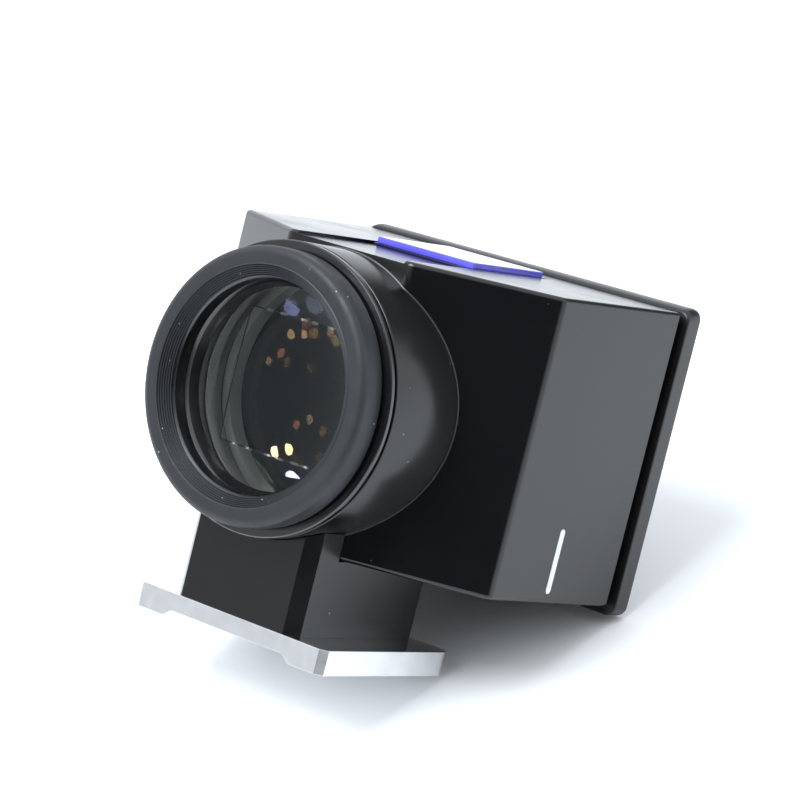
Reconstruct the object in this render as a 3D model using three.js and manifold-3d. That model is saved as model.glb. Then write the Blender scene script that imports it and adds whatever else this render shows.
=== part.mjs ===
// Shoe-mount optical viewfinder for a camera: housing with eyepiece barrel, optics, pedestal and shoe plate.
// Millimetres. +Z is up, +Y points at the subject, and the eye looks in from -Y. z = 0 is the shoe plate's
// underside and the Z axis passes through the middle of the footprint.
import * as THREE from "three";
import { mergeVertices } from "three/addons/utils/BufferGeometryUtils.js";
import Module from "manifold-3d";

const wasm = await Module();
wasm.setup();

// Shoe plate: slides into a camera's accessory shoe.
const PLATE_HALF = 9.3;
const PLATE_REAR = -12.0;
const PLATE_FRONT = 3.92;
const PLATE_T = 1.9;
const PLATE_CHAMFER = 0.55;
const PLATE_CORNER_R = 1.2;
const CHANNEL_HALF_LOW = 6.2;
const CHANNEL_HALF_HIGH = 5.5;
const CHANNEL_DEPTH = 0.55;

// Pedestal between the plate and the housing.
const PED_HALF = 6.0;
const PED_REAR = -11.85;
const PED_FRONT = 3.5;
const PED_CHAMFER = 0.97;
const PED_TOP = 7.45;

// Housing: narrow flat rear, slanted faces, then nearly parallel sides. Top and underside open out forwards.
const REAR_Y = -8.48;
const BEND_Y = -2.3;
const BODY_FRONT = 13.82;
const REAR_HALF = 5.81;
const BEND_HALF = 15.6;
const FRONT_HALF = 15.76;
const TOP_REAR_Z = 30.43;
const TOP_RISE = 0.0291;
const LOW_REAR_Z = 7.8;
const LOW_RISE = -0.0108;
const WALL = 1.2;
const EDGE = 0.3;

// Optical axis and eyepiece, radii about the axis.
const AXIS_Z = 18.93;
const BARREL_R = 10.9;
const BARREL_REAR = -13.0;
const BARREL_END = -2.0;
const BORE_R = 9.6;
const RIM_REAR = -13.69;
const EYE_Y = -16.08;
const CUP_R = 10.2;
const CUP_OPENING_R = 9.0;
const CUP_END = -13.95;
const FIT = 0.05;
const AROUND = 48;
const AROUND_INNER = 32;

// Front frame and rectangular optics.
const FRAME_Y0 = 14.54;
const FRAME_Y1 = 16.08;
const FRAME_HALF_W = 16.17;
const FRAME_LOW = 6.86;
const FRAME_HIGH = 31.56;
const FRAME_R = 0.9;
const WINDOW_Z = 19.32;
const WINDOW_W = 13.1;
const WINDOW_H = 9.1;
const POCKET_W = 13.8;
const POCKET_H = 9.8;
const SPIGOT_W = 14.4;
const SPIGOT_H = 10.4;
const NECK_W = 14.95;
const NECK_H = 10.95;
const LIP_Y = 15.2;
const SPIGOT_Y0 = 12.0;

// Badge on the top: an open-ended tray, a dark bed and a raised plate.
const TRAY_HALF = 5.2;
const TRAY_FRONT = 10.4;
const TRAY_DEPTH = 0.25;
const BADGE_HALF = 4.72;
const BADGE_REAR = 0.86;
const BADGE_FRONT = 10.24;
const BADGE_BED = 0.17;
const BADGE_T = 0.53;

// Index line on the right side.
const INDEX_Y = 5.0;
const INDEX_LOW = 8.44;
const INDEX_HIGH = 13.48;
const INDEX_W = 0.6;

// Screws.
const SHOE_SCREWS = [
  [-3.2, -8.6],
  [3.2, -8.6],
  [-3.2, -1.6],
  [3.2, -1.6],
];
const BODY_SCREWS = [
  [-3.4, 1.5],
  [3.4, 1.5],
];

const topZ = (y) => TOP_REAR_Z + TOP_RISE * (y - REAR_Y);
const lowZ = (y) => LOW_REAR_Z + LOW_RISE * (y - REAR_Y);
const group = new THREE.Group();
group.name = "shoe_viewfinder";

// A closed geometry as a solid, facing out whichever way its profile ran.
function solidFrom(geometry) {
  const bare = geometry.index ? geometry.toNonIndexed() : geometry.clone();
  bare.deleteAttribute("normal");
  bare.deleteAttribute("uv");
  const merged = mergeVertices(bare, 1e-5);
  const kept = [];
  const index = merged.index.array;
  for (let i = 0; i < index.length; i += 3) {
    const [a, b, c] = [index[i], index[i + 1], index[i + 2]];
    if (a !== b && b !== c && c !== a) kept.push(a, b, c);
  }
  const make = (triVerts) =>
    new wasm.Manifold(
      new wasm.Mesh({
        numProp: 3,
        vertProperties: new Float32Array(merged.attributes.position.array),
        triVerts,
      }),
    );
  const solid = make(new Uint32Array(kept));
  if (solid.volume() > 0) return solid;
  const turned = new Uint32Array(kept.length);
  for (let i = 0; i < kept.length; i += 3) {
    turned[i] = kept[i];
    turned[i + 1] = kept[i + 2];
    turned[i + 2] = kept[i + 1];
  }
  return make(turned);
}

function geometryFrom(solid) {
  const raw = solid.getMesh();
  const indexed = new THREE.BufferGeometry();
  indexed.setAttribute("position", new THREE.BufferAttribute(new Float32Array(raw.vertProperties), 3));
  indexed.setIndex(new THREE.BufferAttribute(new Uint32Array(raw.triVerts), 1));
  const flat = indexed.toNonIndexed();
  flat.computeVertexNormals();
  return flat;
}

function add(name, solid, color, roughness, metalness) {
  const material = new THREE.MeshStandardMaterial({ color, roughness, metalness });
  const mesh = new THREE.Mesh(geometryFrom(solid), material);
  mesh.name = name;
  group.add(mesh);
}

// Shape turned about the optical axis, from [radius, y] points.
function turned(profile, around = AROUND) {
  const points = profile.map(([r, y]) => new THREE.Vector2(r, y));
  const onAxis = profile[0][0] === 0 && profile[profile.length - 1][0] === 0;
  if (!onAxis) points.push(points[0].clone());
  return solidFrom(new THREE.LatheGeometry(points, around).translate(0, 0, AXIS_Z));
}

// Shape turned about an upright axis at x, y, from [radius, z] points that start and end on the axis.
function upright(profile, x, y, around = 16) {
  const points = profile.map(([r, z]) => new THREE.Vector2(r, z));
  return solidFrom(new THREE.LatheGeometry(points, around).rotateX(Math.PI / 2).translate(x, y, 0));
}

function shapeOf(points) {
  return new THREE.Shape(points.map(([a, b]) => new THREE.Vector2(a, b)));
}

// Plan outline raised from z0 to z1.
function raised(points, z0, z1) {
  const options = { depth: z1 - z0, bevelEnabled: false };
  return solidFrom(new THREE.ExtrudeGeometry(shapeOf(points), options).translate(0, 0, z0));
}

// Outline in x and z, run along Y from y0 to y1.
function along(points, y0, y1) {
  const options = { depth: y1 - y0, bevelEnabled: false };
  const bar = new THREE.ExtrudeGeometry(shapeOf(points), options);
  return solidFrom(bar.rotateX(Math.PI / 2).translate(0, y1, 0));
}

function roundedRect(halfW, low, high, r, steps = 4) {
  const corners = [
    [halfW - r, low + r, -90],
    [halfW - r, high - r, 0],
    [-halfW + r, high - r, 90],
    [-halfW + r, low + r, 180],
  ];
  const points = [];
  for (const [cx, cz, start] of corners) {
    for (let i = 0; i <= steps; i += 1) {
      const angle = THREE.MathUtils.degToRad(start + (90 * i) / steps);
      points.push([cx + r * Math.cos(angle), cz + r * Math.sin(angle)]);
    }
  }
  return points;
}

const window4 = (halfW, halfH, r) => roundedRect(halfW, WINDOW_Z - halfH, WINDOW_Z + halfH, r);

// Convex outline moved inwards by d, edge by edge. The outline runs anticlockwise.
function inset(points, d) {
  const edges = points.map(([x0, y0], i) => {
    const [x1, y1] = points[(i + 1) % points.length];
    const length = Math.hypot(x1 - x0, y1 - y0);
    const [nx, ny] = [-(y1 - y0) / length, (x1 - x0) / length];
    return { nx, ny, c: nx * x0 + ny * y0 + d };
  });
  return edges.map((b, i) => {
    const a = edges[(i + edges.length - 1) % edges.length];
    const det = a.nx * b.ny - a.ny * b.nx;
    return [(a.c * b.ny - a.ny * b.c) / det, (a.nx * b.c - a.c * b.nx) / det];
  });
}

// Convex outlines stacked upwards. Each level is [outline, height as a function of y].
function stacked(levels) {
  const rings = levels.map(([outline, height]) => outline.map(([x, y]) => [x, y, height(y)]));
  const count = rings[0].length;
  const corners = [];
  for (let k = 0; k + 1 < rings.length; k += 1) {
    for (let i = 0; i < count; i += 1) {
      const j = (i + 1) % count;
      corners.push(rings[k][i], rings[k][j], rings[k + 1][j]);
      corners.push(rings[k][i], rings[k + 1][j], rings[k + 1][i]);
    }
  }
  const last = rings[rings.length - 1];
  for (let i = 1; i + 1 < count; i += 1) {
    corners.push(rings[0][0], rings[0][i + 1], rings[0][i]);
    corners.push(last[0], last[i], last[i + 1]);
  }
  const geometry = new THREE.BufferGeometry();
  geometry.setAttribute("position", new THREE.BufferAttribute(new Float32Array(corners.flat()), 3));
  return solidFrom(geometry);
}

const rectangle = (halfW, y0, y1) => [
  [-halfW, y0],
  [halfW, y0],
  [halfW, y1],
  [-halfW, y1],
];

// Housing plan, with the front edge at frontY.
function plan(frontY) {
  return [
    [-REAR_HALF, REAR_Y],
    [REAR_HALF, REAR_Y],
    [BEND_HALF, BEND_Y],
    [FRONT_HALF, frontY],
    [-FRONT_HALF, frontY],
    [-BEND_HALF, BEND_Y],
  ];
}

const PEDESTAL_PLAN = [
  [-PED_HALF + PED_CHAMFER, PED_REAR],
  [PED_HALF - PED_CHAMFER, PED_REAR],
  [PED_HALF, PED_REAR + PED_CHAMFER],
  [PED_HALF, PED_FRONT - 0.8],
  [PED_HALF - 0.8, PED_FRONT],
  [-PED_HALF + 0.8, PED_FRONT],
  [-PED_HALF, PED_FRONT - 0.8],
  [-PED_HALF, PED_REAR + PED_CHAMFER],
];

// Cylinder about the optical axis.
const rod = (r, y0, y1) => turned([[0, y0], [r, y0], [r, y1], [0, y1]]);

// Screw with a countersunk head facing down; grow makes its hole.
function shoeScrew(x, y, grow) {
  const low = CHANNEL_DEPTH + 0.05 - (grow ? 0.2 : 0);
  const profile = [
    [0, low],
    [1.3 + grow, low],
    [1.3 + grow, 0.75],
    [0.7 + grow, 1.35],
    [0.7 + grow, 4.4 + grow],
    [0, 4.4 + grow],
  ];
  return upright(profile, x, y);
}

// Pan-head screw from the housing floor into the pedestal; grow makes its hole.
function bodyScrew(x, y, grow) {
  const seat = lowZ(y) + WALL;
  const head = grow ? seat : seat + 0.06;
  const profile = [
    [0, head + 1.0],
    [grow ? 0.95 + grow : 1.5, head + 1.0],
    [grow ? 0.95 + grow : 1.7, head + 0.75],
    [grow ? 0.95 + grow : 1.7, head],
    [0.95 + grow, head],
    [0.95 + grow, 4.9 - grow],
    [0, 4.9 - grow],
  ];
  return upright(profile, x, y);
}

const slotBar = (x, y, z0, z1) =>
  raised([[x - 2.5, y - 0.2], [x + 2.5, y - 0.2], [x + 2.5, y + 0.2], [x - 2.5, y + 0.2]], z0, z1);

// --- Housing with its barrel, one casting ---------------------------------------------------------------

function indexOutline(halfW) {
  const points = [];
  const ends = [
    [INDEX_LOW + INDEX_W / 2, 180],
    [INDEX_HIGH - INDEX_W / 2, 0],
  ];
  for (const [z, start] of ends) {
    for (let i = 0; i <= 6; i += 1) {
      const angle = THREE.MathUtils.degToRad(start + 30 * i);
      points.push([INDEX_Y + halfW * Math.cos(angle), z + halfW * Math.sin(angle)]);
    }
  }
  return points;
}

// Index line solid between two x positions.
function indexBar(halfW, x0, x1) {
  const bar = new THREE.ExtrudeGeometry(shapeOf(indexOutline(halfW)), { depth: x1 - x0, bevelEnabled: false });
  const turn = new THREE.Matrix4().makeBasis(
    new THREE.Vector3(0, 1, 0),
    new THREE.Vector3(0, 0, 1),
    new THREE.Vector3(1, 0, 0),
  );
  return solidFrom(bar.applyMatrix4(turn).translate(x0, 0, 0));
}

const sideX = BEND_HALF + ((FRONT_HALF - BEND_HALF) * (INDEX_Y - BEND_Y)) / (BODY_FRONT - BEND_Y);

function housing() {
  const full = plan(BODY_FRONT);
  const trimmed = inset(full, EDGE);
  const outer = stacked([
    [trimmed, lowZ],
    [full, (y) => lowZ(y) + EDGE],
    [full, (y) => topZ(y) - EDGE],
    [trimmed, topZ],
  ]);
  const room = stacked([
    [inset(plan(BODY_FRONT + 6), WALL), (y) => lowZ(y) + WALL],
    [inset(plan(BODY_FRONT + 6), WALL), (y) => topZ(y) - WALL],
  ]);
  const boss = raised(PEDESTAL_PLAN, PED_TOP, 8.6).intersect(
    raised(rectangle(PED_HALF + 1, REAR_Y + 0.02, PED_FRONT + 1), PED_TOP - 1, 9),
  );
  const tray = stacked([
    [rectangle(TRAY_HALF, REAR_Y - 2, TRAY_FRONT), (y) => topZ(y) - TRAY_DEPTH],
    [rectangle(TRAY_HALF, REAR_Y - 2, TRAY_FRONT), (y) => topZ(y) + 2],
  ]);
  let casting = outer.subtract(room).add(rod(BARREL_R, BARREL_REAR, BARREL_END)).add(boss);
  casting = casting.subtract(tray).subtract(rod(BORE_R, BARREL_REAR - 1, BARREL_END + 1));
  for (const [x, y] of BODY_SCREWS) casting = casting.subtract(bodyScrew(x, y, 0.1));
  return casting.subtract(indexBar(INDEX_W / 2 + FIT, sideX - 0.3, sideX + 1));
}

add("body_shell", housing(), 0x0d0e10, 0.32, 0.2);
add("index_line", indexBar(INDEX_W / 2, sideX - 0.28, sideX + 0.03), 0xe8ecf0, 0.5, 0.0);

// --- Badge ------------------------------------------------------------------------------------------------

const trayFloor = (y) => topZ(y) - TRAY_DEPTH;
const bedOutline = rectangle(BADGE_HALF + 0.18, BADGE_REAR - 0.14, BADGE_FRONT + 0.1);
const badgeOutline = rectangle(BADGE_HALF, BADGE_REAR, BADGE_FRONT);
const bed = stacked([
  [bedOutline, trayFloor],
  [bedOutline, (y) => trayFloor(y) + BADGE_BED],
]);
const badge = stacked([
  [badgeOutline, (y) => trayFloor(y) + BADGE_BED],
  [badgeOutline, (y) => trayFloor(y) + BADGE_BED + BADGE_T - 0.1],
  [inset(badgeOutline, 0.1), (y) => trayFloor(y) + BADGE_BED + BADGE_T],
]);
add("badge_bed", bed, 0x0a0b2a, 0.3, 0.0);
add("badge_plate", badge, 0x4a49d8, 0.22, 0.0);

// --- Shoe plate, pedestal and their screws -------------------------------------------------------------

function shoePlate() {
  const outline = [
    [-PLATE_HALF + PLATE_CHAMFER, PLATE_REAR],
    [PLATE_HALF - PLATE_CHAMFER, PLATE_REAR],
    [PLATE_HALF, PLATE_REAR + PLATE_CHAMFER],
  ];
  for (const side of [1, -1]) {
    for (let i = 0; i <= 6; i += 1) {
      const angle = THREE.MathUtils.degToRad(side > 0 ? 15 * i : 90 + 15 * i);
      const cx = side * (PLATE_HALF - PLATE_CORNER_R);
      const cy = PLATE_FRONT - PLATE_CORNER_R;
      outline.push([cx + PLATE_CORNER_R * Math.cos(angle), cy + PLATE_CORNER_R * Math.sin(angle)]);
    }
  }
  outline.push([-PLATE_HALF, PLATE_REAR + PLATE_CHAMFER]);
  const channel = along(
    [
      [-CHANNEL_HALF_LOW - 0.64, -0.5],
      [CHANNEL_HALF_LOW + 0.64, -0.5],
      [CHANNEL_HALF_HIGH, CHANNEL_DEPTH],
      [-CHANNEL_HALF_HIGH, CHANNEL_DEPTH],
    ],
    PLATE_REAR - 1,
    PLATE_FRONT + 1,
  );
  let plate = raised(outline, 0, PLATE_T).subtract(channel);
  for (const [x, y] of SHOE_SCREWS) plate = plate.subtract(shoeScrew(x, y, 0.1));
  return plate;
}

function pedestal() {
  const behind = raised(rectangle(PED_HALF + 1, REAR_Y - 0.05, PED_FRONT + 1), PED_TOP, 13);
  let post = raised(PEDESTAL_PLAN, PLATE_T, 11).subtract(behind);
  post = post.subtract(rod(BARREL_R + 0.1, BARREL_REAR - 1, BARREL_END));
  for (const [x, y] of SHOE_SCREWS) post = post.subtract(shoeScrew(x, y, 0.1));
  for (const [x, y] of BODY_SCREWS) post = post.subtract(bodyScrew(x, y, 0.1));
  return post;
}

add("shoe_plate", shoePlate(), 0xd2dae2, 0.3, 1.0);
add("pedestal", pedestal(), 0x17181a, 0.45, 0.2);
SHOE_SCREWS.forEach(([x, y], i) => {
  const low = CHANNEL_DEPTH - 0.1;
  const screw = shoeScrew(x, y, 0).subtract(slotBar(x, y, low, CHANNEL_DEPTH + 0.4));
  add(`shoe_screw_${i + 1}`, screw, 0x9a9ea3, 0.35, 1.0);
});
BODY_SCREWS.forEach(([x, y], i) => {
  const high = lowZ(y) + WALL + 1.06;
  const screw = bodyScrew(x, y, 0).subtract(slotBar(x, y, high - 0.45, high + 0.5));
  add(`body_screw_${i + 1}`, screw, 0x2a2b2d, 0.4, 1.0);
});

// --- Eyepiece ---------------------------------------------------------------------------------------------

// Eyecup: flat rear face, rounded shoulder, and a ribbed cone that narrows inwards.
function eyecup() {
  const innerEnd = -15.2;
  const ribs = 4;
  const profile = [[8.1, innerEnd]];
  for (let i = 0; i < ribs; i += 1) {
    const t = (i + 0.35) / ribs;
    const u = (i + 0.7) / ribs;
    const at = (s, lift) => [8.1 + 0.9 * s + lift, innerEnd + (EYE_Y - innerEnd) * s + lift];
    profile.push(at(t, 0), at(t, 0.09), at(u, 0.09), at(u, 0));
  }
  profile.push([CUP_OPENING_R, EYE_Y]);
  profile.push([9.6, EYE_Y]);
  for (let i = 1; i <= 5; i += 1) {
    const angle = THREE.MathUtils.degToRad(18 * i);
    profile.push([9.6 + 0.6 * Math.sin(angle), EYE_Y + 0.55 - 0.55 * Math.cos(angle)]);
  }
  profile.push([CUP_R, CUP_END], [9.4, CUP_END], [9.4, innerEnd]);
  return turned(profile);
}

const carrier = turned([
  [7.95, -15.0],
  [8.1, -15.15],
  [9.35, -15.15],
  [9.35, -13.9],
  [9.55, -13.9],
  [9.55, -12.95],
  [8.8, -12.95],
  [8.8, -13.9],
  [7.95, -13.9],
]);
const rim = turned([
  [9.65, RIM_REAR],
  [10.7, RIM_REAR],
  [BARREL_R, RIM_REAR + 0.2],
  [BARREL_R, -13.28],
  [10.65, -13.24],
  [10.65, BARREL_REAR],
  [9.65, BARREL_REAR],
]);
const retainer = turned([
  [8.0, -13.85],
  [8.75, -13.85],
  [8.75, -12.7],
  [7.55, -12.7],
  [7.55, -13.3],
]);
const cell = turned([
  [8.2, -12.65],
  [9.55, -12.65],
  [9.55, BARREL_END],
  [8.7, BARREL_END],
  [8.7, -11.45],
  [8.2, -11.45],
]);

// Arc of a lens surface from the axis out to radius r, bulging by sag towards -Y when sag > 0.
function face(r, edgeY, sag, steps = 5) {
  const points = [];
  const curve = (r * r + sag * sag) / (2 * Math.abs(sag));
  for (let i = 0; i <= steps; i += 1) {
    const x = (r * i) / steps;
    const drop = curve - Math.sqrt(curve * curve - x * x);
    points.push([x, edgeY - Math.sign(sag) * (Math.abs(sag) - drop)]);
  }
  return points;
}

// Plain ring between two radii.
const ring = (r0, r1, y0, y1) => turned([[r0, y0], [r1, y0], [r1, y1], [r0, y1]], AROUND_INNER);

const eyeFace = face(8.15, -11.4, 1.15, 7);
const eyeLens = turned([...eyeFace, [8.6, -11.4], ...face(8.6, -9.9, -0.5, 4).reverse()]);
const innerLens = turned([...face(8.6, -7.8, -0.6), ...face(8.6, -5.9, -0.9).reverse()], AROUND_INNER);
const reticle = turned([[0, -3.85], [8.6, -3.85], [8.6, -3.0], [0, -3.0]], AROUND_INNER);

add("eyecup_ring", eyecup(), 0x3a3e42, 0.8, 0.0);
add("eyecup_carrier", carrier, 0x2c2e31, 0.45, 0.6);
add("barrel_rim_ring", rim, 0x111214, 0.3, 0.5);
add("lens_retaining_ring", retainer, 0x3f4347, 0.35, 0.8);
add("eyepiece_cell", cell, 0x0a0a0b, 0.7, 0.2);
add("eyepiece_lens", eyeLens, 0x26302e, 0.05, 0.0);
add("lens_spacer", ring(8.0, 8.65, -9.75, -7.85), 0x0a0a0b, 0.7, 0.2);
add("field_lens", innerLens, 0x26302e, 0.05, 0.0);
add("reticle_spacer", ring(8.0, 8.65, -5.7, -3.9), 0x0a0a0b, 0.7, 0.2);
add("reticle_glass", reticle, 0x27302f, 0.05, 0.0);
add("reticle_lock_ring", ring(7.9, 8.65, -2.95, -2.1), 0x111214, 0.5, 0.5);

// --- Front frame and objective ---------------------------------------------------------------------------

function frontFrame() {
  const plate = along(roundedRect(FRAME_HALF_W, FRAME_LOW, FRAME_HIGH, FRAME_R), FRAME_Y0, FRAME_Y1);
  const neck = along(window4(NECK_W, NECK_H, 0.4), BODY_FRONT, FRAME_Y0 + 0.2);
  const spigot = along(window4(SPIGOT_W, SPIGOT_H, 0.3), SPIGOT_Y0, BODY_FRONT + 0.2);
  const pocket = along(window4(POCKET_W, POCKET_H, 0.8), SPIGOT_Y0 - 1, LIP_Y);
  const opening = along(window4(WINDOW_W, WINDOW_H, 1.0), SPIGOT_Y0 - 1, FRAME_Y1 + 1);
  return plate.add(neck).add(spigot).subtract(pocket).subtract(opening);
}

function objective() {
  const blank = along(window4(POCKET_W - 0.1, POCKET_H - 0.1, 0.75), 12.7, LIP_Y);
  const hollow = turned([...face(18, 12.2, -2.0, 6), [18, 11.0], [0, 11.0]], 40);
  return blank.subtract(hollow);
}

const lensClamp = along(window4(POCKET_W - 0.1, POCKET_H - 0.1, 0.75), SPIGOT_Y0 + 0.05, 12.65).subtract(
  along(window4(12.9, 8.9, 0.9), SPIGOT_Y0 - 1, 13.5),
);
const mask = along(roundedRect(14.2, 9.05, 29.35, 0.4), 4.4, 5.2).subtract(
  along(window4(9.2, 6.6, 1.0), 3.0, 6.5),
);

add("front_frame", frontFrame(), 0x101113, 0.4, 0.2);
add("objective_lens", objective(), 0x2a3436, 0.05, 0.0);
add("objective_clamp", lensClamp, 0x0b0b0c, 0.6, 0.2);
add("field_mask", mask, 0x0a0a0b, 0.8, 0.0);

export default group;
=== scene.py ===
"""Looks of a shoe-mount optical viewfinder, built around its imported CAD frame."""

import math

import bmesh
import bpy
from mathutils import Matrix, Vector

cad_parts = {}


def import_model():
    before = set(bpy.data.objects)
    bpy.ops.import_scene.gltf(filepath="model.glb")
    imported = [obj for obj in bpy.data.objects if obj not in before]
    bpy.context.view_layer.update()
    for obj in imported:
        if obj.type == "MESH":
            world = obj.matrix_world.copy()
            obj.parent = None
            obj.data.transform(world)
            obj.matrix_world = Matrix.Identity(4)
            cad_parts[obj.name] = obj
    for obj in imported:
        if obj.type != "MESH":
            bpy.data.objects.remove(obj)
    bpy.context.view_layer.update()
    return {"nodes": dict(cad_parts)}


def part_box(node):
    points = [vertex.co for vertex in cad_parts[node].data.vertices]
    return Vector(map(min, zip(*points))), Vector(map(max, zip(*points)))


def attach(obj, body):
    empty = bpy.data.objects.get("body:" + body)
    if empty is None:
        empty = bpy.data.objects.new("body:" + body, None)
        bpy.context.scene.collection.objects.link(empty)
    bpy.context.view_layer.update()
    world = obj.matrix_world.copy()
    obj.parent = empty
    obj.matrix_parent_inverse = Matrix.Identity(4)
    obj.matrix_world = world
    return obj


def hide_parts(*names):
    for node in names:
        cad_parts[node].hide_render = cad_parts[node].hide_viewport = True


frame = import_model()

# Sizes below are millimetres in the row's frame: +Z up, +Y towards the subject, the eye looks in from -Y.
MM = 0.001
scene = bpy.context.scene


def box_mm(node):
    low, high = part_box(node)
    return low / MM, high / MM


PLATE_LOW, PLATE_HIGH = box_mm("shoe_plate")
POST_LOW, POST_HIGH = box_mm("pedestal")
BODY_LOW, BODY_HIGH = box_mm("body_shell")
CUP_LOW, CUP_HIGH = box_mm("eyecup_ring")
RIM_LOW, RIM_HIGH = box_mm("barrel_rim_ring")
FRAME_LOW, FRAME_HIGH = box_mm("front_frame")
BADGE_LOW, BADGE_HIGH = box_mm("badge_plate")
BED_LOW, BED_HIGH = box_mm("badge_bed")
INDEX_LOW, INDEX_HIGH = box_mm("index_line")

# The eyepiece sits a little higher and is a little larger than in the CAD, as the photograph shows it.
AXIS_RISE = 0.13
BARREL_EXTRA = 0.06
CUP_EXTRA = 0.1
AXIS_Z = (CUP_LOW.z + CUP_HIGH.z) / 2 + AXIS_RISE
BARREL_R = (RIM_HIGH.x - RIM_LOW.x) / 2 + BARREL_EXTRA
BORE_R = 9.6
CUP_R = (CUP_HIGH.x - CUP_LOW.x) / 2 + CUP_EXTRA
EYE_Y = CUP_LOW.y
BARREL_REAR = BODY_LOW.y
BARREL_END = -2.0

# The housing from above: a narrow rear face, slanted faces out to the bend, then the sides.
REAR_Y = -8.48
BEND_Y = -2.3
REAR_HALF = 5.81
BEND_HALF = 15.6
BODY_FRONT = BODY_HIGH.y
FRONT_HALF = BODY_HIGH.x
# Its top and floor: height at the rear face, and rise for each millimetre forwards.
TOP_REAR_Z = 30.43
TOP_RISE = 0.0291
LOW_REAR_Z = 7.8
LOW_RISE = -0.0108
WALL = 1.2

AROUND = 200
UPRIGHT_AROUND = 64
SHARP = math.radians(38)
NEARLY_STRAIGHT = math.radians(165)


def top_z(y):
    return TOP_REAR_Z + TOP_RISE * (y - REAR_Y)


def low_z(y):
    return LOW_REAR_Z + LOW_RISE * (y - REAR_Y)


# --- Mesh helpers ------------------------------------------------------------------------------------------


def object_from(name, bm):
    """Object from a bmesh drawn in millimetres, with normals out and smooth shading between sharp edges."""
    bmesh.ops.remove_doubles(bm, verts=bm.verts, dist=1e-6)
    bmesh.ops.recalc_face_normals(bm, faces=bm.faces)
    bmesh.ops.scale(bm, vec=(MM, MM, MM), verts=bm.verts)
    mesh = bpy.data.meshes.new(name)
    bm.to_mesh(mesh)
    bm.free()
    mesh.shade_smooth()
    mesh.set_sharp_from_angle(angle=SHARP)
    obj = bpy.data.objects.new(name, mesh)
    scene.collection.objects.link(obj)
    return obj


def modified_mesh(obj):
    """Makes the object's modifiers part of its mesh, and returns the mesh."""
    depsgraph = bpy.context.evaluated_depsgraph_get()
    mesh = bpy.data.meshes.new_from_object(obj.evaluated_get(depsgraph))
    obj.modifiers.clear()
    obj.data = mesh
    return mesh


def apply_modifiers(obj):
    """The object with its modifiers made part of its mesh, smooth between sharp edges."""
    mesh = modified_mesh(obj)
    mesh.shade_smooth()
    mesh.set_sharp_from_angle(angle=SHARP)
    return obj


def bevel(obj, width, segments=3, angle=40):
    """Rounds the edges that turn by more than angle degrees."""
    modifier = obj.modifiers.new("soft_edges", "BEVEL")
    modifier.width = width * MM
    modifier.segments = segments
    modifier.limit_method = "ANGLE"
    modifier.angle_limit = math.radians(angle)
    modifier.miter_outer = "MITER_ARC"
    modifier.use_clamp_overlap = True
    return apply_modifiers(obj)


def keep_flats_flat(obj):
    """Normals weighted by area, so that a large flat face shades flat up to its rounded edge."""
    modifier = obj.modifiers.new("flat_faces", "WEIGHTED_NORMAL")
    modifier.mode = "FACE_AREA"
    modifier.weight = 100
    modifier.keep_sharp = True
    modified_mesh(obj)
    return obj


def cut(obj, *cutters):
    """Subtracts each cutter from obj and removes the cutter."""
    for cutter in cutters:
        modifier = obj.modifiers.new("cut", "BOOLEAN")
        modifier.operation = "DIFFERENCE"
        modifier.solver = "EXACT"
        modifier.object = cutter
        bpy.context.view_layer.update()
        apply_modifiers(obj)
        bpy.data.objects.remove(cutter)
    return obj


def loop_mesh(name, rings, closed):
    """Skin over rings of points. Closed joins the last ring to the first; otherwise both ends are capped."""
    bm = bmesh.new()
    rows = [[bm.verts.new(p) for p in ring] for ring in rings]
    count = len(rows[0])
    pairs = list(zip(rows, rows[1:]))
    if closed:
        pairs.append((rows[-1], rows[0]))
    for low, high in pairs:
        for i in range(count):
            j = (i + 1) % count
            bm.faces.new((low[i], low[j], high[j], high[i]))
    if not closed:
        bm.faces.new(rows[0])
        bm.faces.new(rows[-1])
    return object_from(name, bm)


def soften(profile, radius, steps=3):
    """Closed profile with each corner replaced by a small arc."""
    points = [Vector(p) for p in profile]
    softened = []
    count = len(points)
    for i, corner in enumerate(points):
        before = points[i - 1] - corner
        after = points[(i + 1) % count] - corner
        turn = before.angle(after)
        if turn > NEARLY_STRAIGHT:
            softened.append(corner)
            continue
        reach = min(radius / math.tan(turn / 2), 0.45 * before.length, 0.45 * after.length)
        start = corner + before.normalized() * reach
        end = corner + after.normalized() * reach
        for k in range(steps + 1):
            t = k / steps
            softened.append(start * (1 - t) ** 2 + corner * (2 * t * (1 - t)) + end * t ** 2)
    return softened


def full_turn(count):
    return [2 * math.pi * i / count for i in range(count)]


def optical_ring(r, y):
    """Ring of points round the optical axis."""
    return [(r * math.cos(a), y, AXIS_Z + r * math.sin(a)) for a in full_turn(AROUND)]


def turned(name, profile, radius):
    """Ring or tube turned about the optical axis, from a closed profile of (radius, y) points."""
    return loop_mesh(name, [optical_ring(r, y) for r, y in soften(profile, radius)], True)


def spindle(name, start, end, rings):
    """Skin over rings of points that closes to a single point at both ends."""
    bm = bmesh.new()
    first = bm.verts.new(start)
    last = bm.verts.new(end)
    rows = [[bm.verts.new(p) for p in ring] for ring in rings]
    around = len(rows[0])
    for i in range(around):
        j = (i + 1) % around
        bm.faces.new((first, rows[0][i], rows[0][j]))
        bm.faces.new((last, rows[-1][j], rows[-1][i]))
        for low, high in zip(rows, rows[1:]):
            bm.faces.new((low[i], high[i], high[j], low[j]))
    return object_from(name, bm)


def turned_solid(name, profile):
    """Solid turned about the optical axis, from (radius, y) points that start and end on the axis."""
    start = (0, profile[0][1], AXIS_Z)
    end = (0, profile[-1][1], AXIS_Z)
    return spindle(name, start, end, [optical_ring(r, y) for r, y in profile[1:-1]])


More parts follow.
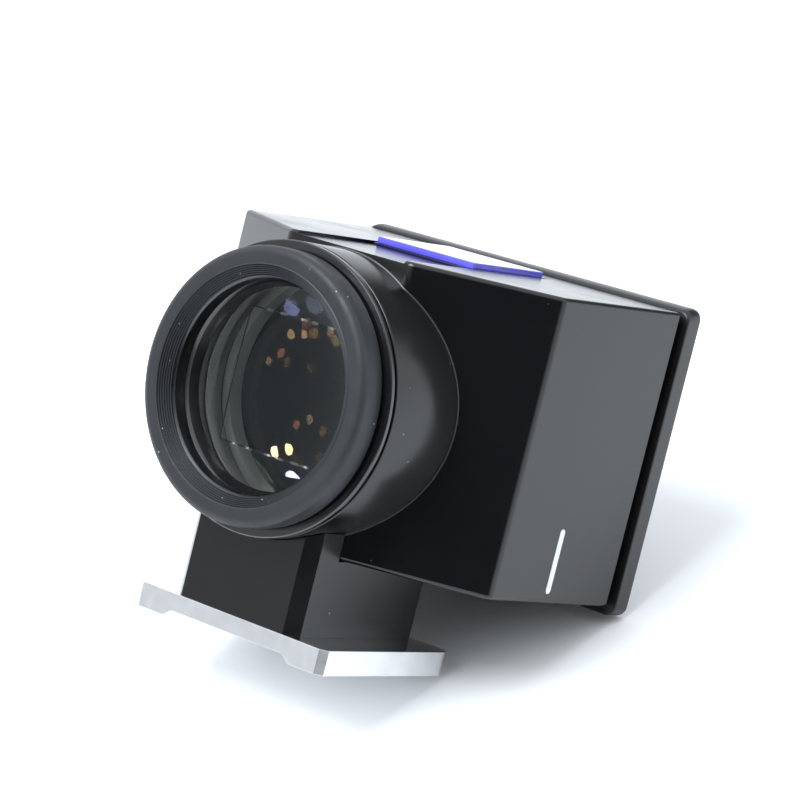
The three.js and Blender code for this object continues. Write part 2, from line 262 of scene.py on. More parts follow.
def upright(name, profile, x, y):
    """Solid turned about an upright axis at x, y, from (radius, z) points that start and end on the axis."""
    rings = []
    for r, z in profile[1:-1]:
        rings.append([(x + r * math.cos(a), y + r * math.sin(a), z) for a in full_turn(UPRIGHT_AROUND)])
    return spindle(name, (x, y, profile[0][1]), (x, y, profile[-1][1]), rings)


def rounded_rect(half_w, low, high, r, y, steps=8):
    """Ring of points in the plane at y, round a rectangle with rounded corners."""
    corners = [
        (half_w - r, low + r, -90),
        (half_w - r, high - r, 0),
        (-half_w + r, high - r, 90),
        (-half_w + r, low + r, 180),
    ]
    ring = []
    for cx, cz, start in corners:
        for i in range(steps + 1):
            angle = math.radians(start + 90 * i / steps)
            ring.append((cx + r * math.cos(angle), y, cz + r * math.sin(angle)))
    return ring


def extruded(name, outline, low, high):
    """Upright prism over an (x, y) outline. low and high give the height at y."""
    rings = [[(x, y, height(y)) for x, y in outline] for height in (low, high)]
    return loop_mesh(name, rings, False)


def level(z):
    return lambda y: z


def rectangle(half_w, y0, y1):
    return [(-half_w, y0), (half_w, y0), (half_w, y1), (-half_w, y1)]


def inset(points, d):
    """Convex outline moved inwards by d, edge by edge. The outline runs anticlockwise."""
    edges = []
    for i, (x0, y0) in enumerate(points):
        x1, y1 = points[(i + 1) % len(points)]
        length = math.hypot(x1 - x0, y1 - y0)
        nx, ny = -(y1 - y0) / length, (x1 - x0) / length
        edges.append((nx, ny, nx * x0 + ny * y0 + d))
    moved = []
    for i, (bx, by, bc) in enumerate(edges):
        ax, ay, ac = edges[i - 1]
        det = ax * by - ay * bx
        moved.append(((ac * by - ay * bc) / det, (ax * bc - ac * bx) / det))
    return moved


# --- Materials ---------------------------------------------------------------------------------------------


def new_material(name, base, roughness, metallic=0.0, **sockets):
    material = bpy.data.materials.new(name)
    material.use_nodes = True
    tree = material.node_tree
    shader = tree.nodes["Principled BSDF"]
    shader.inputs["Base Color"].default_value = (*base, 1)
    shader.inputs["Roughness"].default_value = roughness
    shader.inputs["Metallic"].default_value = metallic
    for socket, value in sockets.items():
        shader.inputs[socket.replace("_", " ")].default_value = value
    return material, tree, shader


def object_position(tree, stretch=(1, 1, 1)):
    where = tree.nodes.new("ShaderNodeTexCoord")
    mapping = tree.nodes.new("ShaderNodeMapping")
    mapping.inputs["Scale"].default_value = stretch
    tree.links.new(where.outputs["Object"], mapping.inputs["Vector"])
    return mapping.outputs["Vector"]


def noise(tree, vector, scale, detail=3.0, roughness=0.55):
    node = tree.nodes.new("ShaderNodeTexNoise")
    node.inputs["Scale"].default_value = scale
    node.inputs["Detail"].default_value = detail
    node.inputs["Roughness"].default_value = roughness
    tree.links.new(vector, node.inputs["Vector"])
    return node.outputs["Fac"]


def remap(tree, value, from_min, from_max, to_min, to_max):
    node = tree.nodes.new("ShaderNodeMapRange")
    limits = {"From Min": from_min, "From Max": from_max, "To Min": to_min, "To Max": to_max}
    for socket, number in limits.items():
        node.inputs[socket].default_value = number
    tree.links.new(value, node.inputs["Value"])
    return node.outputs["Result"]


def multiply(tree, first, second):
    node = tree.nodes.new("ShaderNodeMath")
    node.operation = "MULTIPLY"
    tree.links.new(first, node.inputs[0])
    tree.links.new(second, node.inputs[1])
    return node.outputs["Value"]


def blend_values(tree, factor, first, second):
    """Number between first, another node's output, and second, a fixed number."""
    node = tree.nodes.new("ShaderNodeMix")
    node.data_type = "FLOAT"
    node.inputs["B"].default_value = second
    tree.links.new(factor, node.inputs["Factor"])
    tree.links.new(first, node.inputs["A"])
    return node.outputs["Result"]


def blend_colours(tree, factor, first, second):
    """Colour between first, a fixed colour or another node's output, and second, a fixed colour."""
    node = tree.nodes.new("ShaderNodeMix")
    node.data_type = "RGBA"
    if isinstance(first, tuple):
        node.inputs["A"].default_value = (*first, 1)
    else:
        tree.links.new(first, node.inputs["A"])
    node.inputs["B"].default_value = (*second, 1)
    tree.links.new(factor, node.inputs["Factor"])
    return node.outputs["Result"]


def bump(tree, shader, height, strength, distance):
    node = tree.nodes.new("ShaderNodeBump")
    node.inputs["Strength"].default_value = strength
    node.inputs["Distance"].default_value = distance * MM
    tree.links.new(height, node.inputs["Height"])
    tree.links.new(node.outputs["Normal"], shader.inputs["Normal"])


def specks(tree, vector, scale, size, amount):
    """Factor that is 1 on scattered small specks and 0 elsewhere."""
    cells = tree.nodes.new("ShaderNodeTexVoronoi")
    cells.inputs["Scale"].default_value = scale
    tree.links.new(vector, cells.inputs["Vector"])
    dot = remap(tree, cells.outputs["Distance"], size, size * 0.5, 0, 1)
    split = tree.nodes.new("ShaderNodeSeparateColor")
    tree.links.new(cells.outputs["Color"], split.inputs["Color"])
    chosen = remap(tree, split.outputs["Red"], 1 - amount, 1 - amount + 0.01, 0, 1)
    return multiply(tree, dot, chosen)


PAINT_DUST = (0.42, 0.44, 0.46)
RUBBER_DUST = (0.75, 0.77, 0.8)


def satin_paint(name, base, roughness, ior=1.5, grain=0.12):
    """Fine satin paint: a faint grain, slow changes in gloss and a few specks of dust."""
    material, tree, shader = new_material(name, base, roughness, IOR=ior)
    where = object_position(tree)
    gloss = remap(tree, noise(tree, where, 180, 3), 0.3, 0.7, roughness - 0.03, roughness + 0.04)
    tree.links.new(gloss, shader.inputs["Roughness"])
    dust = specks(tree, where, 450, 0.03, 0.8)
    tree.links.new(blend_colours(tree, dust, base, PAINT_DUST), shader.inputs["Base Color"])
    bump(tree, shader, noise(tree, where, 9000, 2, 0.6), grain, 0.004)
    return material


def rubber(name, base, roughness):
    """Fine matt rubber with a close grain, a little paler bloom and scattered dust."""
    material, tree, shader = new_material(name, base, roughness, IOR=1.42)
    where = object_position(tree)
    bloom = remap(tree, noise(tree, where, 260, 4), 0.35, 0.75, 0, 1)
    paler = tuple(c * 1.25 for c in base)
    colour = blend_colours(tree, bloom, base, paler)
    dust = specks(tree, where, 900, 0.055, 0.8)
    tree.links.new(blend_colours(tree, dust, colour, RUBBER_DUST), shader.inputs["Base Color"])
    gloss = remap(tree, noise(tree, where, 1200, 2), 0.3, 0.7, roughness - 0.06, roughness + 0.06)
    tree.links.new(gloss, shader.inputs["Roughness"])
    bump(tree, shader, noise(tree, where, 12000, 2, 0.7), 0.35, 0.006)
    return material


def brushed_metal(name, base, roughness, stretch, strength):
    """Metal with fine wear. Its grain is closer along an axis where stretch is above 1."""
    material, tree, shader = new_material(name, base, roughness, 1.0)
    lines = noise(tree, object_position(tree, stretch), 1500, 4, 0.6)
    gloss = remap(tree, lines, 0.25, 0.75, roughness - 0.05, roughness + 0.09)
    tree.links.new(gloss, shader.inputs["Roughness"])
    darker = tuple(c * 0.93 for c in base)
    slow = remap(tree, noise(tree, object_position(tree), 400, 3), 0.35, 0.65, 0, 1)
    tree.links.new(blend_colours(tree, slow, base, darker), shader.inputs["Base Color"])
    bump(tree, shader, lines, strength, 0.004)
    return material


def glass(name, ior, roughness, tint, reflection):
    """Clear polished glass with a coating that dims and tints what it reflects, and faint wipe marks."""
    material, tree, shader = new_material(
        name, tint, roughness, IOR=ior, Transmission_Weight=1.0, Specular_Tint=(*reflection, 1)
    )
    where = object_position(tree)
    smear = remap(tree, noise(tree, where, 300, 4), 0.5, 0.8, roughness, roughness + 0.03)
    tree.links.new(smear, shader.inputs["Roughness"])
    return material


def polish_upwards(material, roughness):
    """Smoother finish on the faces of a material that look up."""
    tree = material.node_tree
    shader = tree.nodes["Principled BSDF"]
    satin = shader.inputs["Roughness"].links[0].from_socket
    normal = tree.nodes.new("ShaderNodeNewGeometry")
    split = tree.nodes.new("ShaderNodeSeparateXYZ")
    tree.links.new(normal.outputs["Normal"], split.inputs["Vector"])
    upwards = remap(tree, split.outputs["Z"], 0.8, 0.97, 0, 1)
    tree.links.new(blend_values(tree, upwards, satin, roughness), shader.inputs["Roughness"])


def enamel(name, base, deep, roughness, coat):
    """Glossy enamel with slight depth in its colour and a clear coat."""
    material, tree, shader = new_material(name, base, roughness, Coat_Weight=coat, Coat_Roughness=0.04)
    where = object_position(tree)
    depth = remap(tree, noise(tree, where, 350, 3), 0.35, 0.7, 0, 1)
    tree.links.new(blend_colours(tree, depth, base, deep), shader.inputs["Base Color"])
    bump(tree, shader, noise(tree, where, 1500, 2), 0.05, 0.004)
    return material


def line_white(name, base, deep):
    """Matt paint filled into a line, slightly uneven."""
    material, tree, shader = new_material(name, base, 0.5)
    where = object_position(tree)
    grain = remap(tree, noise(tree, where, 2500, 3), 0.3, 0.7, 0, 1)
    tree.links.new(blend_colours(tree, grain, base, deep), shader.inputs["Base Color"])
    bump(tree, shader, noise(tree, where, 6000, 2), 0.2, 0.006)
    return material


BLACK = satin_paint("black_satin_paint", (0.0045, 0.0048, 0.0055), 0.2, 1.52, 0.07)
POST_BLACK = satin_paint("pedestal_black_paint", (0.004, 0.0043, 0.005), 0.22, 1.52)
FRAME_BLACK = satin_paint("frame_black_paint", (0.008, 0.0085, 0.0095), 0.3, 1.5)
RIM_BLACK = satin_paint("rim_black_anodised", (0.006, 0.0065, 0.0075), 0.16, 1.75)
# The seam bead's lighter grey is a painted highlight. It stands in for the bright line that light draws along
# the join of barrel and housing.
SEAM_HIGHLIGHT_GREY = satin_paint("seam_painted_highlight", (0.06, 0.064, 0.07), 0.3, 1.6)
INNER_BLACK = satin_paint("inner_flat_black", (0.03, 0.034, 0.036), 0.7, 1.3, 0.01)
WALL_GREY = satin_paint("eyepiece_wall_grey", (0.17, 0.178, 0.182), 0.6, 1.3, 0.01)
RUBBER = rubber("eyecup_rubber", (0.02, 0.022, 0.025), 0.46)
RING_METAL = brushed_metal("dark_anodised_ring", (0.085, 0.09, 0.095), 0.3, (1, 12, 1), 0.1)
FOOT_METAL = brushed_metal("bright_foot_metal", (0.81, 0.82, 0.835), 0.32, (1, 1, 1), 0.04)
polish_upwards(FOOT_METAL, 0.12)
SCREW_METAL = brushed_metal("screw_steel", (0.48, 0.49, 0.51), 0.3, (1, 1, 1), 0.15)
EYE_GLASS = glass("eye_lens_glass", 1.5, 0.01, (0.97, 0.985, 0.98), (0.24, 0.26, 0.3))
INNER_GLASS = glass("inner_lens_glass", 1.22, 0.02, (0.97, 0.97, 0.95), (0.26, 0.3, 0.2))
FRONT_GLASS = glass("objective_glass", 1.5, 0.015, (0.95, 0.97, 0.95), (0.4, 0.45, 0.4))
RETICLE_GLASS = glass("frame_line_glass", 1.15, 0.02, (0.36, 0.4, 0.37), (0.2, 0.3, 0.2))
BADGE_BLUE = enamel("badge_blue_enamel", (0.12, 0.11, 0.75), (0.1, 0.09, 0.66), 0.18, 0.8)
BADGE_DARK = enamel("badge_navy_bed", (0.008, 0.008, 0.07), (0.006, 0.006, 0.05), 0.3, 0.5)
INDEX_WHITE = line_white("index_white_fill", (0.86, 0.88, 0.9), (0.74, 0.77, 0.8))


def finish(obj, material, slot, *nodes):
    """Gives a piece its material and its body, and hides the CAD nodes that it stands for. The slot argument
    is not used.
    """
    obj.data.materials.clear()
    obj.data.materials.append(material)
    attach(obj, "root")
    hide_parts(*nodes)


# --- Housing and barrel ------------------------------------------------------------------------------------

HOUSING_EDGE = 0.38
JOIN_GAP = 0.06


def plan(front_y):
    """Outline of the housing from above: narrow behind, then slanted faces and nearly straight sides."""
    return [
        (-REAR_HALF, REAR_Y),
        (REAR_HALF, REAR_Y),
        (BEND_HALF, BEND_Y),
        (FRONT_HALF, front_y),
        (-FRONT_HALF, front_y),
        (-BEND_HALF, BEND_Y),
    ]


def side_x(y):
    return BEND_HALF + (FRONT_HALF - BEND_HALF) * (y - BEND_Y) / (BODY_FRONT - BEND_Y)


TRAY_HALF = 5.2
TRAY_FRONT = 10.4
TRAY_DEPTH = 0.25
INDEX_Y = (INDEX_LOW.y + INDEX_HIGH.y) / 2
INDEX_HALF = (INDEX_HIGH.y - INDEX_LOW.y) / 2
INDEX_GAP = 0.03


def capsule(half_w, low, high, x0, x1, steps=12):
    """Upright bar with round ends, lying across X from x0 to x1."""
    rings = []
    for x in (x0, x1):
        ring = []
        for z, start in ((low + half_w, 180), (high - half_w, 0)):
            for i in range(steps + 1):
                angle = math.radians(start + 180 * i / steps)
                ring.append((x, INDEX_Y + half_w * math.cos(angle), z + half_w * math.sin(angle)))
        rings.append(ring)
    return rings


def housing():
    """Hollow body with the badge's tray, the hole for the barrel and the groove of the index line."""
    outer = extruded("housing", plan(BODY_FRONT), low_z, top_z)
    bevel(outer, HOUSING_EDGE, 4, 25)
    room = extruded(
        "room",
        inset(plan(BODY_FRONT + 6), WALL),
        lambda y: low_z(y) + WALL,
        lambda y: top_z(y) - WALL,
    )
    tray = extruded(
        "tray",
        rectangle(TRAY_HALF, REAR_Y - 2, TRAY_FRONT),
        lambda y: top_z(y) - TRAY_DEPTH,
        lambda y: top_z(y) + 2,
    )
    hole_r = BARREL_R + JOIN_GAP
    hole = turned_solid(
        "hole", [(0, REAR_Y - 4), (hole_r, REAR_Y - 4), (hole_r, BARREL_END), (0, BARREL_END)]
    )
    face_x = side_x(INDEX_Y)
    pocket_rings = capsule(
        INDEX_HALF + INDEX_GAP, INDEX_LOW.z - INDEX_GAP, INDEX_HIGH.z + INDEX_GAP, face_x - 0.3, face_x + 1
    )
    pocket = loop_mesh("pocket", pocket_rings, False)
    cut(outer, room, tray, hole, pocket)
    return keep_flats_flat(bevel(outer, 0.09, 2, 50))


finish(housing(), BLACK, "body_paint", "body_shell")
barrel = turned(
    "barrel",
    [(BORE_R, BARREL_REAR), (BARREL_R, BARREL_REAR), (BARREL_R, BARREL_END), (BORE_R, BARREL_END)],
    0.12,
)
# Clears what would stand above the tray.
above = extruded(
    "above",
    rectangle(TRAY_HALF + 2, REAR_Y + 0.01, TRAY_FRONT),
    lambda y: top_z(y) - TRAY_DEPTH - 0.03,
    level(BODY_HIGH.z + 3),
)
finish(cut(barrel, above), BLACK, "body_paint", "body_shell")

SEAM_R = 0.09
SEAM_BELOW_TOP = 0.12
SEAM_AROUND = 240


def seam_bead():
    """Fine bead where the barrel runs into the rear and the slanted faces."""
    slope = Vector((BEND_Y - REAR_Y, -(BEND_HALF - REAR_HALF))).normalized()
    rings = []
    for a in full_turn(SEAM_AROUND):
        x, z = BARREL_R * math.cos(a), BARREL_R * math.sin(a)
        past = max(0, abs(x) - REAR_HALF)
        y = REAR_Y + past * (BEND_Y - REAR_Y) / (BEND_HALF - REAR_HALF)
        facing = Vector((math.copysign(slope.x, x), slope.y, 0)) if past else Vector((0, -1, 0))
        out = Vector((math.cos(a), 0, math.sin(a)))
        z = min(z, top_z(y) - AXIS_Z - SEAM_BELOW_TOP)
        middle = Vector((x, y, AXIS_Z + z))
        ring = []
        for turn in full_turn(8):
            ring.append(middle + out * (SEAM_R * math.cos(turn)) + facing * (SEAM_R * math.sin(turn)))
        rings.append(ring)
    return loop_mesh("seam_bead", rings, True)


# The bead is painted lighter grey than the housing: a painted highlight along the join.
finish(seam_bead(), SEAM_HIGHLIGHT_GREY, "body_paint", "body_shell")
index_rings = capsule(INDEX_HALF, INDEX_LOW.z, INDEX_HIGH.z, INDEX_LOW.x, side_x(INDEX_Y) + 0.01)
index_mark = loop_mesh("index_mark", index_rings, False)
finish(index_mark, INDEX_WHITE, "index_white", "index_line")

# --- Badge -------------------------------------------------------------------------------------------------


def tray_z(y):
    return top_z(y) - TRAY_DEPTH


BED_T = 0.17
BADGE_T = 0.53
bed_outline = rectangle(BED_HIGH.x, BED_LOW.y, BED_HIGH.y)
bed = extruded("badge_base", bed_outline, tray_z, lambda y: tray_z(y) + BED_T)
keep_flats_flat(bevel(bed, 0.04, 2))
finish(bed, BADGE_DARK, "badge_dark", "badge_bed")
badge = extruded(
    "badge_face",
    rectangle(BADGE_HIGH.x, BADGE_LOW.y, BADGE_HIGH.y),
    lambda y: tray_z(y) + BED_T,
    lambda y: tray_z(y) + BED_T + BADGE_T,
)
keep_flats_flat(bevel(badge, 0.09, 3))
finish(badge, BADGE_BLUE, "badge_blue", "badge_plate")

# --- Foot and pedestal -------------------------------------------------------------------------------------

PLATE_HALF = PLATE_HIGH.x
PLATE_REAR = PLATE_LOW.y
PLATE_FRONT = PLATE_HIGH.y
PLATE_T = PLATE_HIGH.z
PLATE_CHAMFER = 0.55
PLATE_CORNER_R = 1.2
CHANNEL_DEPTH = 0.55
CHANNEL_ROOF_HALF = 5.5
CHANNEL_MOUTH_HALF = 6.84
SCREW_X = 3.2
SCREW_YS = (-8.6, -1.6)


def foot():
    """Plate with chamfered rear and rounded front corners, a channel underneath and four screw sinks."""
    outline = [
        (-PLATE_HALF + PLATE_CHAMFER, PLATE_REAR),
        (PLATE_HALF - PLATE_CHAMFER, PLATE_REAR),
        (PLATE_HALF, PLATE_REAR + PLATE_CHAMFER),
    ]
    for side, start in ((1, 0), (-1, 90)):
        for i in range(13):
            angle = math.radians(start + 7.5 * i)
            cx = side * (PLATE_HALF - PLATE_CORNER_R)
            cy = PLATE_FRONT - PLATE_CORNER_R
            outline.append((cx + PLATE_CORNER_R * math.cos(angle), cy + PLATE_CORNER_R * math.sin(angle)))
    outline.append((-PLATE_HALF, PLATE_REAR + PLATE_CHAMFER))
    plate = extruded("foot", outline, level(0), level(PLATE_T))
    section = [
        (-CHANNEL_MOUTH_HALF, -0.5),
        (CHANNEL_MOUTH_HALF, -0.5),
        (CHANNEL_ROOF_HALF, CHANNEL_DEPTH),
        (-CHANNEL_ROOF_HALF, CHANNEL_DEPTH),
    ]
    rings = [[(x, y, z) for x, z in section] for y in (PLATE_REAR - 1, PLATE_FRONT + 1)]
    cut(plate, loop_mesh("channel", rings, False))
    sink = [(0, 0.3), (1.42, 0.3), (1.42, 0.75), (0.75, 2.5), (0, 2.5)]
    cut(plate, *[upright("sink", sink, sx, sy) for sx in (-SCREW_X, SCREW_X) for sy in SCREW_YS])
    return keep_flats_flat(bevel(plate, 0.1, 3, 20))


finish(foot(), FOOT_METAL, "shoe_metal", "shoe_plate")

POST_HALF = POST_HIGH.x
POST_REAR = POST_LOW.y
POST_FRONT = POST_HIGH.y
POST_CHAMFER = 0.97
POST_FRONT_CHAMFER = 0.8
POST_TOP = 7.75
POST_STOCK_TOP = 11

def pedestal():
    """Post with chamfered corners, cut to the underside of the housing and of the barrel."""
    outline = [
        (-POST_HALF + POST_CHAMFER, POST_REAR),
        (POST_HALF - POST_CHAMFER, POST_REAR),
        (POST_HALF, POST_REAR + POST_CHAMFER),
        (POST_HALF, POST_FRONT - POST_FRONT_CHAMFER),
        (POST_HALF - POST_FRONT_CHAMFER, POST_FRONT),
        (-POST_HALF + POST_FRONT_CHAMFER, POST_FRONT),
        (-POST_HALF, POST_FRONT - POST_FRONT_CHAMFER),
        (-POST_HALF, POST_REAR + POST_CHAMFER),
    ]
    post = extruded("post", outline, level(PLATE_T), level(POST_STOCK_TOP))
    under_housing = rectangle(POST_HALF + 1, REAR_Y - 0.05, POST_FRONT + 1)
    behind = extruded("behind", under_housing, level(POST_TOP), level(POST_STOCK_TOP + 2))
    saddle_r = BARREL_R + 0.05
    saddle_rear = BARREL_REAR - 1
    saddle_profile = [(0, saddle_rear), (saddle_r, saddle_rear), (saddle_r, BARREL_END), (0, BARREL_END)]
    cut(post, behind, turned_solid("saddle", saddle_profile))
    return keep_flats_flat(bevel(post, 0.08, 2, 20))


finish(pedestal(), POST_BLACK, "body_paint", "pedestal")


def foot_screw(name, x, y):
    """Countersunk screw with a slotted head, looking down from the foot's channel."""
    low = CHANNEL_DEPTH + 0.05
    profile = [(0, low), (1.15, low), (1.28, low + 0.08), (1.3, 0.78), (0.72, 1.35), (0.72, 1.9), (0, 1.9)]
    screw = upright(name, profile, x, y)
    slot_outline = [(x - 2, y - 0.2), (x + 2, y - 0.2), (x + 2, y + 0.2), (x - 2, y + 0.2)]
    return cut(screw, extruded("slot", slot_outline, level(low - 0.3), level(low + 0.35)))


places = [(sx, sy) for sy in SCREW_YS for sx in (-SCREW_X, SCREW_X)]
for number, (sx, sy) in enumerate(places, 1):
    screw = foot_screw(f"foot_screw_{number}", sx, sy)
    finish(screw, SCREW_METAL, "screw_steel", f"shoe_screw_{number}")

# --- Eyepiece ----------------------------------------------------------------------------------------------

CONE_IN = (8.1, -15.2)
CONE_OUT = (9.0, EYE_Y)
RIDGES = 7
RIDGE_LIFT = 0.11
SHOULDER_R = 9.6
SHOULDER_ROUND = 0.55
CUP_SEAT_R = 9.4


def eyecup():
    """Flat rear face, rounded shoulder, and a finely ridged cone that narrows inwards."""
    profile = [Vector(CONE_IN)]
    step = Vector(CONE_OUT) - Vector(CONE_IN)
    away = Vector((step.y, -step.x)).normalized()
    for i in range(RIDGES):
        for t, lift in ((0.15, 0.0), (0.3, RIDGE_LIFT), (0.65, RIDGE_LIFT), (0.8, 0.0)):
            profile.append(Vector(CONE_IN) + step * ((i + t) / RIDGES) + away * lift)
    profile.append(Vector(CONE_OUT))
    for i in range(11):
        angle = math.radians(9 * i)
        r = SHOULDER_R + (CUP_R - SHOULDER_R) * math.sin(angle)
        profile.append(Vector((r, EYE_Y + SHOULDER_ROUND - SHOULDER_ROUND * math.cos(angle))))
    profile.append(Vector((CUP_R, CUP_HIGH.y)))
    profile.append(Vector((CUP_SEAT_R, CUP_HIGH.y)))
    profile.append(Vector((CUP_SEAT_R, CONE_IN[1])))
    return turned("eyecup", profile, 0.03)


finish(eyecup(), RUBBER, "eyecup_rubber", "eyecup_ring")
carrier = turned(
    "cup_carrier",
    [
        (7.95, -15.0),
        (8.1, -15.15),
        (9.35, -15.15),
        (9.35, -13.9),
        (9.55, -13.9),
        (9.55, -12.95),
        (8.8, -12.95),
        (8.8, -13.9),
        (7.95, -13.9),
    ],
    0.04,
)
finish(carrier, RING_METAL, "ring_metal", "eyecup_carrier")
rim = turned(
    "barrel_rim",
    [
        (9.65, RIM_LOW.y),
        (BARREL_R - 0.1, RIM_LOW.y),
        (BARREL_R, RIM_LOW.y + 0.1),
        (BARREL_R, -13.28),
        (10.65, -13.24),
        (10.65, BARREL_REAR),
        (9.65, BARREL_REAR),
    ],
    0.03,
)
finish(rim, RIM_BLACK, "body_paint", "barrel_rim_ring")
retainer = turned(
    "lens_retainer",
    [(7.98, -13.85), (8.75, -13.85), (8.75, -12.7), (7.55, -12.7), (7.55, -12.85), (7.8, -13.6)],
    0.04,
)
finish(retainer, RIM_BLACK, "ring_metal", "lens_retaining_ring")
cell = turned(
    "lens_cell",
    [(8.2, -12.65), (9.55, -12.65), (9.55, BARREL_END), (8.7, BARREL_END), (8.7, -11.45), (8.2, -11.45)],
    0.05,
)
finish(cell, INNER_BLACK, "inner_black", "eyepiece_cell")

# The eye lens: radius of its body and of its rear face, where each face's edge lies, and how far each bulges.
LENS_R = 8.6
EYE_REAR_R = 8.15
EYE_REAR_EDGE = -11.4
EYE_REAR_BULGE = 1.15
EYE_FRONT_EDGE = -9.9
EYE_FRONT_BULGE = 0.5


def sphere_radius(r, bulge):
    """Radius of the sphere that a lens face of radius r and height bulge is part of."""
    return (r * r + bulge * bulge) / (2 * abs(bulge))


def lens_face(r, edge_y, sag, steps=28):
    """Points of a lens surface from the axis out to r, bulging by sag towards -Y when sag is positive."""
    curve = sphere_radius(r, sag)
    points = []
    for i in range(steps + 1):
        x = r * i / steps
        drop = curve - math.sqrt(curve * curve - x * x)
        points.append((x, edge_y - math.copysign(abs(sag) - drop, sag)))
    return points


def ground_edge(lens, material):
    """Second material on the cylindrical edge of a round lens, which is ground and not polished."""
    lens.data.materials.append(material)
    for polygon in lens.data.polygons:
        if abs(polygon.normal.y) < 0.1:
            polygon.material_index = 1


eye_rear = lens_face(EYE_REAR_R, EYE_REAR_EDGE, EYE_REAR_BULGE) + [(LENS_R, EYE_REAR_EDGE)]
eye_front = lens_face(LENS_R, EYE_FRONT_EDGE, -EYE_FRONT_BULGE)
eye_lens = turned_solid("eye_lens", eye_rear + eye_front[::-1])
finish(eye_lens, EYE_GLASS, "lens_glass", "eyepiece_lens")
ground_edge(eye_lens, INNER_BLACK)


def frame_marks(name, marks, width):
    """Flat marks on the inner face of the eye lens, each from (x, z) to (x, z) along one axis."""
    bm = bmesh.new()
    curve = sphere_radius(LENS_R, EYE_FRONT_BULGE)
    for (x0, z0), (x1, z1) in marks:
        half = width / 2
        low_x, high_x = min(x0, x1) - half, max(x0, x1) + half
        low_mark, high_mark = min(z0, z1) - half, max(z0, z1) + half
        verts = []
        for x, z in ((low_x, low_mark), (high_x, low_mark), (high_x, high_mark), (low_x, high_mark)):
            drop = curve - math.sqrt(curve ** 2 - x * x - z * z)
            verts.append((x, EYE_FRONT_EDGE + EYE_FRONT_BULGE - drop, AXIS_Z + z))
        near = [bm.verts.new((x, y - 0.01, z)) for x, y, z in verts]
        far = [bm.verts.new((x, y + 0.03, z)) for x, y, z in verts]
        bm.faces.new(near)
        bm.faces.new(far[::-1])
        for i in range(4):
            j = (i + 1) % 4
            bm.faces.new((near[j], near[i], far[i], far[j]))
    return object_from(name, bm)


FRAME_LINE_W = 5.8
FRAME_LINE_H = 5.0


def line_steps(start, end, step):
    """Short end-to-end pieces from start to end."""
    count = round((Vector(end) - Vector(start)).length / step)
    points = [tuple(Vector(start).lerp(Vector(end), i / count)) for i in range(count + 1)]
    return list(zip(points, points[1:]))


frame_corners = rectangle(FRAME_LINE_W, -FRAME_LINE_H, FRAME_LINE_H)
frame_sides = []
for i in range(4):
    frame_sides += line_steps(frame_corners[i], frame_corners[(i + 1) % 4], 0.7)
finish(frame_marks("frame_outline", frame_sides, 0.1), INNER_BLACK, "lens_glass", "reticle_glass")

# White dashes along the lower and the upper side of the frame, unevenly spaced.
dashes = []
for x in (-4.6, -3.3, -1.4, -0.4, 1.1, 2.0, 3.2, 4.4):
    dashes.append(((x, -FRAME_LINE_H), (x + 0.55, -FRAME_LINE_H)))
    dashes.append(((x + 0.3, FRAME_LINE_H), (x + 0.75, FRAME_LINE_H)))
finish(frame_marks("frame_dashes", dashes, 0.13), INDEX_WHITE, "lens_glass", "reticle_glass")

inner_lens = turned_solid("inner_lens", lens_face(LENS_R, -7.8, -0.6) + lens_face(LENS_R, -5.9, -0.9)[::-1])
finish(inner_lens, INNER_GLASS, "lens_glass", "field_lens")
ground_edge(inner_lens, WALL_GREY)
reticle = turned_solid("frame_line_plate", [(0, -3.85), (LENS_R, -3.85), (LENS_R, -3.0), (0, -3.0)])
finish(reticle, RETICLE_GLASS, "lens_glass", "reticle_glass")
SPACER_R = LENS_R + 0.05
for name, node, material, inner, y0, y1 in (
    ("front_spacer", "lens_spacer", WALL_GREY, 8.4, -9.75, -7.85),
    ("rear_spacer", "reticle_spacer", WALL_GREY, 8.0, -5.7, -3.9),
    ("lock_ring", "reticle_lock_ring", INNER_BLACK, 7.9, -2.95, -2.1),
):
    spacer = turned(name, [(inner, y0), (SPACER_R, y0), (SPACER_R, y1), (inner, y1)], 0.05)
    finish(spacer, material, "inner_black", node)

# --- Front frame, objective, mask --------------------------------------------------------------------------

# Half widths and half heights of the window and of the steps behind it, all round the height WINDOW_Z.
WINDOW_Z = 19.32
WINDOW_W = 13.1
WINDOW_H = 9.1
POCKET_W = 13.8
POCKET_H = 9.8
SPIGOT_W = 14.4
SPIGOT_H = 10.4
NECK_W = 14.95
NECK_H = 10.95
WINDOW_R = 1.0
POCKET_R = 0.8
SPIGOT_R = 0.3
NECK_R = 0.4
WINDOW_EDGE = 0.15
# The plate's rear and front faces, the lip that the objective rests on, and where the spigot begins.
FRAME_Y0 = 14.24
FRAME_Y1 = FRAME_HIGH.y
LIP_Y = 15.2
SPIGOT_Y0 = 12.0
# The plate's corners and rounded edges, and the slope along its top rear edge.
FRAME_R = 0.9
REAR_EDGE = 0.14
TOP_SLOPE = 0.5
TOP_SLOPE_LENGTH = 1.35
FRONT_EDGE = 0.22


def window_ring(half_w, half_h, r, y):
    return rounded_rect(half_w, WINDOW_Z - half_h, WINDOW_Z + half_h, r, y)


def plate_ring(d, top_d, y):
    """Ring round the plate at y, moved in by d at the sides and below and by top_d at the top."""
    return rounded_rect(FRAME_HIGH.x - d, FRAME_LOW.z + d, FRAME_HIGH.z - top_d, FRAME_R - d, y)


